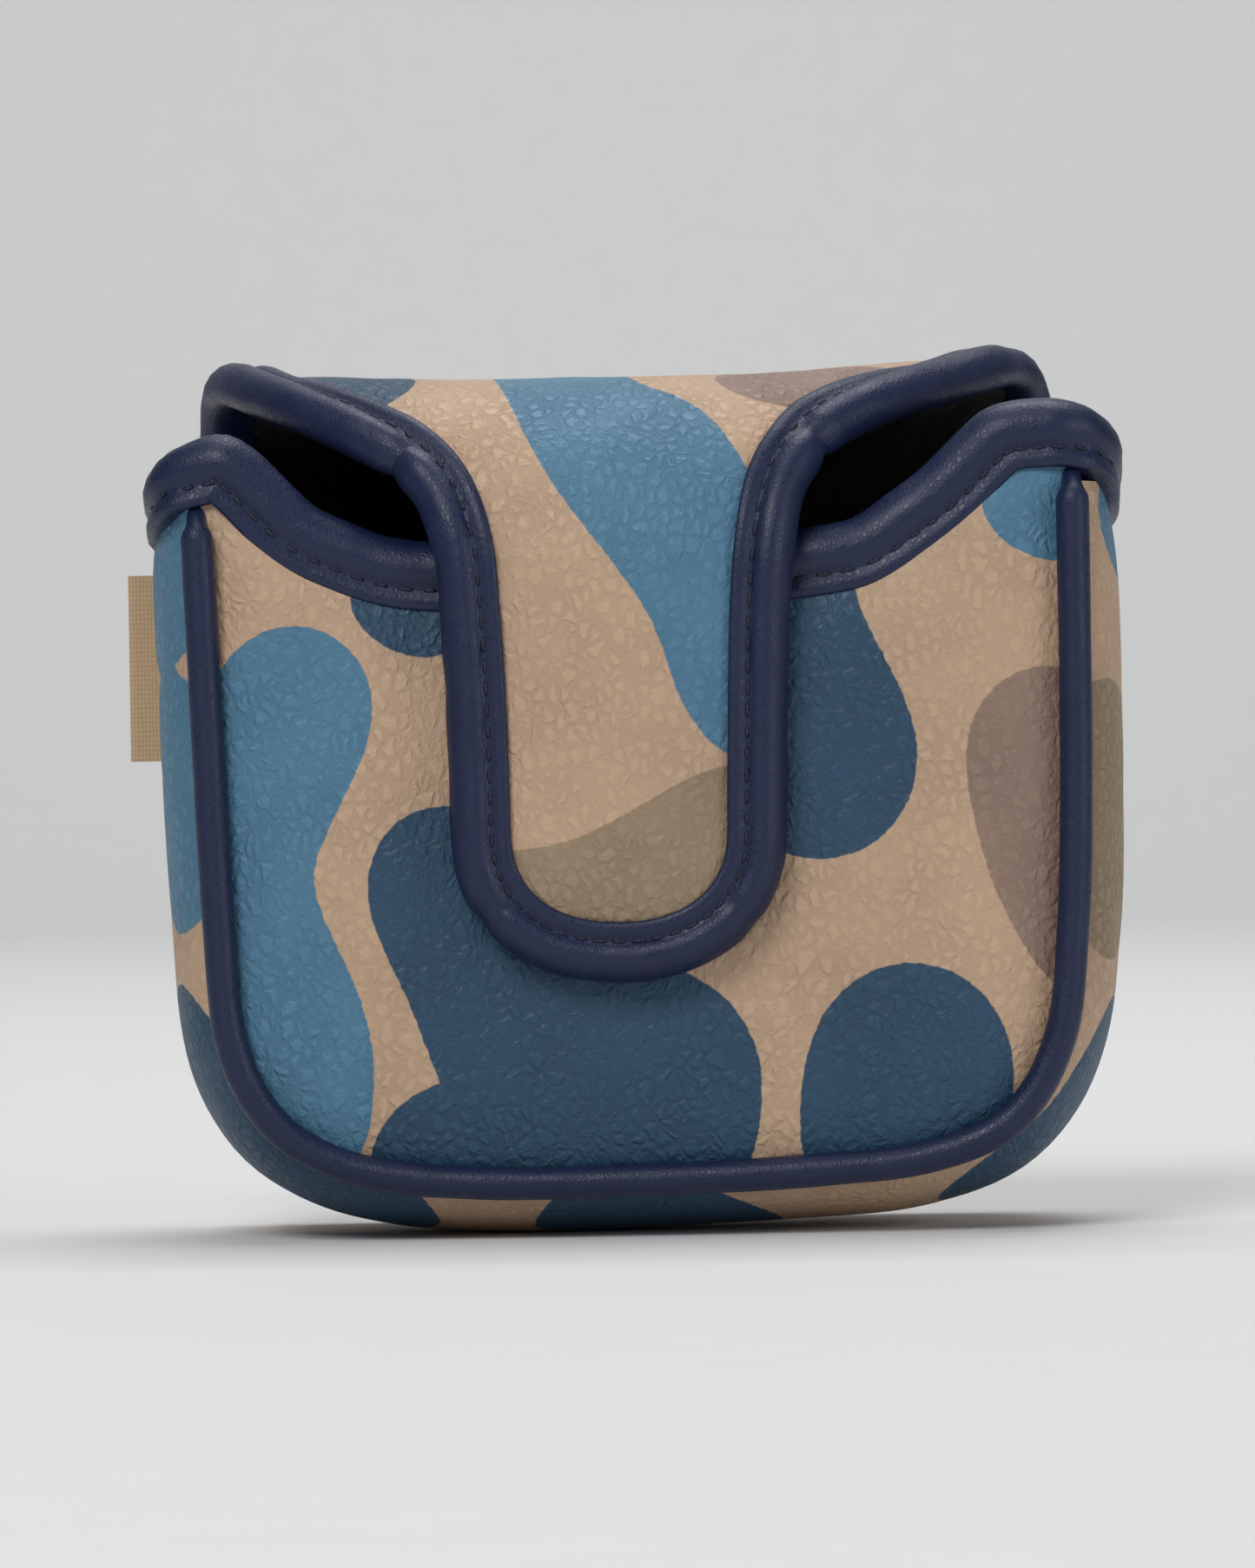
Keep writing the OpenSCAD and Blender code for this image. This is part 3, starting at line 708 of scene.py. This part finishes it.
def stitch_tree():
    """Puts one stitch on every point, along its 'lie' and facing its 'face'."""
    tree = bpy.data.node_groups.new("stitches", "GeometryNodeTree")
    sockets = {}
    for label, kind, way in (("Geometry", "NodeSocketGeometry", "INPUT"),
                             ("Stitch length", "NodeSocketFloat", "INPUT"),
                             ("Thread radius", "NodeSocketFloat", "INPUT"),
                             ("Seed", "NodeSocketInt", "INPUT"),
                             ("Thread", "NodeSocketMaterial", "INPUT"),
                             ("Geometry", "NodeSocketGeometry", "OUTPUT")):
        sockets[label, way] = tree.interface.new_socket(label, in_out=way, socket_type=kind)
    add = tree.nodes.new
    link = tree.links.new
    given, result = add("NodeGroupInput"), add("NodeGroupOutput")
    ball = add("GeometryNodeMeshUVSphere")
    ball.inputs["Segments"].default_value = 8
    ball.inputs["Rings"].default_value = 5
    ball.inputs["Radius"].default_value = 1.0
    lie, face = add("GeometryNodeInputNamedAttribute"), add("GeometryNodeInputNamedAttribute")
    lie.data_type = face.data_type = "FLOAT_VECTOR"
    lie.inputs["Name"].default_value, face.inputs["Name"].default_value = "lie", "face"
    turned = add("FunctionNodeAxesToRotation")
    turned.primary_axis, turned.secondary_axis = "X", "Z"
    link(lie.outputs["Attribute"], turned.inputs[0])
    link(face.outputs["Attribute"], turned.inputs[1])
    vary = add("FunctionNodeRandomValue")
    vary.data_type = "FLOAT"
    vary.inputs[2].default_value, vary.inputs[3].default_value = 0.85, 1.1
    link(given.outputs["Seed"], vary.inputs["Seed"])
    half, size = add("ShaderNodeMath"), add("ShaderNodeCombineXYZ")
    half.operation = "MULTIPLY"
    longer = add("ShaderNodeMath")
    longer.operation = "MULTIPLY"
    longer.inputs[1].default_value = 0.5
    link(given.outputs["Stitch length"], longer.inputs[0])
    link(longer.outputs[0], half.inputs[0])
    link(vary.outputs[1], half.inputs[1])
    link(half.outputs[0], size.inputs["X"])
    link(given.outputs["Thread radius"], size.inputs["Y"])
    link(given.outputs["Thread radius"], size.inputs["Z"])
    place, whole, paint = (add("GeometryNodeInstanceOnPoints"),
                           add("GeometryNodeRealizeInstances"), add("GeometryNodeSetMaterial"))
    link(given.outputs["Geometry"], place.inputs["Points"])
    link(ball.outputs["Mesh"], place.inputs["Instance"])
    link(turned.outputs[0], place.inputs["Rotation"])
    link(size.outputs[0], place.inputs["Scale"])
    link(place.outputs[0], whole.inputs[0])
    link(whole.outputs[0], paint.inputs["Geometry"])
    link(given.outputs["Thread"], paint.inputs["Material"])
    link(paint.outputs[0], result.inputs[0])
    return tree, {label: s.identifier for (label, way), s in sockets.items() if way == "INPUT"}


STITCHES, STITCH_INPUTS = stitch_tree()


def sew(name, points, lies, faces):
    """A row of stitches as one plain mesh; points in millimetres."""
    mesh = bpy.data.meshes.new(name)
    mesh.from_pydata((points * MM).tolist(), [], [])
    for label, vectors in (("lie", lies), ("face", faces)):
        values = mesh.attributes.new(label, "FLOAT_VECTOR", "POINT")
        values.data.foreach_set("vector", vectors.astype(np.float32).ravel())
    row = bpy.data.objects.new(name, mesh)
    bpy.context.scene.collection.objects.link(row)
    modifier = row.modifiers.new("stitches", "NODES")
    modifier.node_group = STITCHES
    for label, value in (("Stitch length", stitch_length * MM), ("Thread radius", thread_r * MM),
                         ("Seed", 7), ("Thread", THREAD)):
        modifier[STITCH_INPUTS[label]] = value
    bpy.context.view_layer.update()
    done = bpy.data.meshes.new_from_object(
        row.evaluated_get(bpy.context.evaluated_depsgraph_get()))
    row.modifiers.clear()
    row.data = done
    done.name = name
    done.shade_smooth()
    return row


def sew_groove(name, groove, path, normals, outs, turns, skip=(1.5, 1)):
    """Stitches in the groove of a binding, one every pitch; skip is left bare at each end."""
    along = np.concatenate([[0], np.cumsum(np.linalg.norm(np.diff(path, axis=0), axis=1))])
    at = np.arange(skip[0], along[-1] - skip[1], stitch_pitch)
    rows = [np.stack([np.interp(at, along, a[:, k]) for k in range(3)], axis=1)
            for a in (path, normals, outs, turns)]
    return sew(name, rows[0] - (groove + 0.1) * rows[2] + 2.55 * rows[1], rows[3], rows[1])


stitches = sew_groove("mouth_stitches", mouth_groove, mouth_path, mouth_normal, mouth_out,
                      mouth_turn)
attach(stitches, "pouch")
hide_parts("mouth_thread", "side_thread")
for part, cut in PARTS.items():
    stitches = sew_groove(part + "_stitches", flap_groove, flap_path[cut], flap_normal[cut],
                          flap_out[cut], flap_turn[cut], STITCH_SKIPS[part])
    bend_with(stitches, part)
    if part == "strap":
        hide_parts("strap_thread")
    elif part == "left":
        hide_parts("flap_thread")

# ---- Fleece lining ----
# Black fleece glued behind every panel, its pile brushed up. Each piece is as thick as the
# CAD lining, with a lumpy face towards the pocket.
fleece_t = stack_t - pad_t
glue_gap = 0.02


def black_fleece():
    material, shader, add = new_material("fleece_lining")
    links = material.node_tree.links
    coords = add("ShaderNodeTexCoord").outputs["Object"]
    tufts = add("ShaderNodeTexNoise", {"Vector": coords, "Scale": 700.0, "Detail": 6.0,
                                       "Roughness": 0.75})
    colour = add("ShaderNodeMix", data_type="RGBA")
    links.new(tufts.outputs["Fac"], colour.inputs["Factor"])
    colour.inputs[6].default_value = (0.0015, 0.0015, 0.002, 1)
    colour.inputs[7].default_value = (0.010, 0.010, 0.012, 1)
    links.new(colour.outputs[2], shader.inputs["Base Color"])
    bump = add("ShaderNodeBump", {"Height": tufts.outputs["Fac"], "Strength": 0.9,
                                  "Distance": 0.6 * MM})
    links.new(bump.outputs["Normal"], shader.inputs["Normal"])
    shader.inputs["Roughness"].default_value = 0.95
    shader.inputs["Specular IOR Level"].default_value = 0.1
    shader.inputs["Sheen Weight"].default_value = 0.15
    return material


FLEECE = black_fleece()


def pile(x, y, z):
    return 0.25 * grain(x, y, z, 3.2, 6.1) + 0.15 * grain(x, y, z, 1.4, 8.2)


def finish_lining(lining, *nodes):
    lining.data.materials.append(FLEECE)
    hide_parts(*nodes)


x, z, glued = front_grid(lambda x, z: np.full(x.shape, front_y + pad_t + glue_gap))
brushed = glued + np.array([0, 1, 0]) * (fleece_t + pile(x, 0 * x, z))[:, :, None]
lining = pad_piece("front_fleece", glued, brushed)
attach(lining, "pouch")
finish_lining(lining, "front_lining")

lumps = pile(along, back_y * v, 0 * v)
lining = pad_piece("gusset_fleece", gusset_grid(pad_t + glue_gap, pad_t),
                   gusset_grid(pad_t + fleece_t + lumps, stack_t))
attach(lining, "pouch")
finish_lining(lining, "gusset_lining")

for name, rows, columns in (("back_fleece", back_rows, 100), ("strap_fleece", strap_rows, 64)):
    x, s, edge = fold_grid(rows, columns)
    glued = fold_point(x, s, -pad_t - glue_gap)[0]
    brushed = fold_point(x, s, -stack_t + np.minimum(0.1, pile(x, s, 0 * x)))[0]
    lining = pad_piece(name, glued[:, ::-1], brushed[:, ::-1])
    if name == "back_fleece":
        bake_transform(lining)
        finish_lining(lining, "back_lining")
    else:
        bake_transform(lining)
        finish_lining(lining, "flap_lining", "strap_lining")

# ---- Side label ----
# A folded loop of woven ribbon caught in the rear left seam, its fold outward. It is bare.
label_low, label_high = box_mm("side_label")
ribbon_t, ribbon_lift = 0.42, 1.6


def woven_ribbon():
    material, shader, add = new_material("label_ribbon")
    links = material.node_tree.links
    coords = add("ShaderNodeTexCoord").outputs["Object"]
    ribs = add("ShaderNodeTexWave", {"Vector": coords, "Scale": 480.0, "Distortion": 0.4},
               bands_direction="Z")
    warp = add("ShaderNodeTexWave", {"Vector": coords, "Scale": 620.0, "Distortion": 0.4},
               bands_direction="X")
    weave = add("ShaderNodeMath", {0: ribs.outputs["Fac"], 1: warp.outputs["Fac"]},
                operation="MULTIPLY")
    colour = add("ShaderNodeMix", data_type="RGBA")
    links.new(weave.outputs[0], colour.inputs["Factor"])
    colour.inputs[6].default_value = (0.44, 0.31, 0.18, 1)
    colour.inputs[7].default_value = (0.60, 0.44, 0.27, 1)
    links.new(colour.outputs[2], shader.inputs["Base Color"])
    bump = add("ShaderNodeBump", {"Height": weave.outputs[0], "Strength": 0.6,
                                  "Distance": 0.12 * MM})
    links.new(bump.outputs["Normal"], shader.inputs["Normal"])
    shader.inputs["Roughness"].default_value = 0.75
    return material


fold = np.linspace(-math.pi / 2, math.pi / 2, 9)
loop_r = (label_high[1] - label_low[1] - ribbon_t) / 2
loop_y = (label_high[1] + label_low[1]) / 2
reach = label_low[0] + loop_r - 2.2
loop = resample(np.vstack([[(label_high[0], loop_y - loop_r)],
                           np.stack([reach - loop_r * np.cos(fold),
                                     loop_y + loop_r * np.sin(fold)], axis=1),
                           [(label_high[0], loop_y + loop_r)]]), 0.35)
turn = np.gradient(loop, axis=0)
turn /= np.linalg.norm(turn, axis=1)[:, None]
away = np.stack([turn[:, 1], -turn[:, 0]], axis=1)
away *= np.sign((away * (loop - (label_high[0], loop_y))).sum(axis=1))[:, None]
tall = np.linspace(label_low[2], label_high[2], 30) + ribbon_lift
curl = 0.18 * np.sin(tall / 4)


def label_layer(off):
    flat = loop + away * off
    return np.stack([flat[:, None, 0] + 0 * tall, flat[:, None, 1] + curl * 0.6,
                     tall + 0 * flat[:, None, 0]], axis=2)


label = pad_piece("side_label_ribbon", label_layer(ribbon_t / 2)[:, ::-1],
                  label_layer(-ribbon_t / 2)[:, ::-1])
label.data.materials.append(woven_ribbon())
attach(label, "pouch")
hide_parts("side_label")

# ---- Inside: magnets ----
# Two discs of nickel-plated magnet sit in the front panel's foam and two in the strap's,
# facing each other. The label is held by its own stitches.
material, shader, add = new_material("magnet")
brushing = add("ShaderNodeTexNoise", {"Vector": add("ShaderNodeTexCoord").outputs["Object"],
                                      "Scale": 2500.0, "Detail": 4.0})
rough = add("ShaderNodeMapRange", {"Value": brushing.outputs["Fac"], "To Min": 0.18,
                                   "To Max": 0.4})
material.node_tree.links.new(rough.outputs[0], shader.inputs["Roughness"])
shader.inputs["Base Color"].default_value = (0.55, 0.54, 0.51, 1)
shader.inputs["Metallic"].default_value = 1.0
for node in ("front_magnets", "strap_magnets"):
    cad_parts[node].data.materials.clear()
    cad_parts[node].data.materials.append(material)
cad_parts["label_thread"].data.materials.clear()
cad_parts["label_thread"].data.materials.append(THREAD)

# ---- Floor, light and camera ----
# A pale paper sweep with its own wash of light, a large soft key above the camera, a fill
# and a top light.
paper_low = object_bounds()[0][2]
bend = np.linspace(0, math.pi / 2, 24)
sweep = np.vstack([[(-5.0, 0.0)], np.stack([2.4 + 0.8 * np.sin(bend),
                                            0.8 - 0.8 * np.cos(bend)], axis=1), [(3.2, 4.0)]])
points = [(px, py, pz + paper_low) for py, pz in sweep for px in (-9.0, 9.0)]
paper_mesh = bpy.data.meshes.new("paper")
paper_mesh.from_pydata(points, [], [(2 * i, 2 * i + 1, 2 * i + 3, 2 * i + 2)
                                    for i in range(len(sweep) - 1)])
paper_mesh.shade_smooth()
paper = bpy.data.objects.new("paper", paper_mesh)
bpy.context.scene.collection.objects.link(paper)
material, shader, add = new_material("paper")
fibre = add("ShaderNodeTexNoise", {"Vector": add("ShaderNodeTexCoord").outputs["Object"],
                                   "Scale": 60.0, "Detail": 5.0})
shade = add("ShaderNodeMix", data_type="RGBA")
material.node_tree.links.new(fibre.outputs["Fac"], shade.inputs["Factor"])
shade.inputs[6].default_value = (0.74, 0.74, 0.735, 1)
shade.inputs[7].default_value = (0.76, 0.76, 0.755, 1)
material.node_tree.links.new(shade.outputs[2], shader.inputs["Base Color"])
shader.inputs["Roughness"].default_value = 0.9
shader.inputs["Specular IOR Level"].default_value = 0.1
paper_mesh.materials.append(material)

for name, at, aim, size, watts in (
        ("key", (-0.55, -1.35, 1.25), (0, 0, 0.06), 0.8, 18.0),
        ("fill", (1.35, -1.0, 0.5), (0, 0, 0.06), 0.7, 5.5),
        ("top", (0.15, 0.3, 1.5), (0, 0, 0.06), 0.9, 10.0),
        ("wash", (0, 1.3, 2.4), (0, 3.2, 0.9), 2.0, 38.0)):
    light = bpy.data.lights.new(name, "AREA")
    light.energy, light.size = watts, size
    lamp = bpy.data.objects.new(name, light)
    lamp.location = at
    away = np.array(aim) - np.array(at)
    lamp.rotation_mode = "QUATERNION"
    lamp.rotation_quaternion = Vector(away).to_track_quat("-Z", "Y")
    bpy.context.scene.collection.objects.link(lamp)

world = bpy.data.worlds.new("studio")
world.use_nodes = True
sky = world.node_tree.nodes["Background"]
sky.inputs["Color"].default_value = (0.9, 0.93, 1.0, 1)
seen = world.node_tree.nodes.new("ShaderNodeLightPath").outputs["Is Camera Ray"]
level = world.node_tree.nodes.new("ShaderNodeMapRange")
level.inputs["To Min"].default_value, level.inputs["To Max"].default_value = 0.16, 0.6
world.node_tree.links.new(seen, level.inputs["Value"])
world.node_tree.links.new(level.outputs[0], sky.inputs["Strength"])
bpy.context.scene.world = world

lens = bpy.data.cameras.new("camera")
lens.sensor_fit, lens.sensor_width, lens.lens = "HORIZONTAL", 36.0, 235.0
lens.clip_end = 20
camera = bpy.data.objects.new("camera", lens)
camera.location = (-0.0013, front_y * MM - 1.1, 0.0603)
camera.rotation_euler = (math.radians(90), math.radians(1.0), 0)
bpy.context.scene.collection.objects.link(camera)
bpy.context.scene.camera = camera
bpy.context.scene.view_settings.view_transform = "Standard"
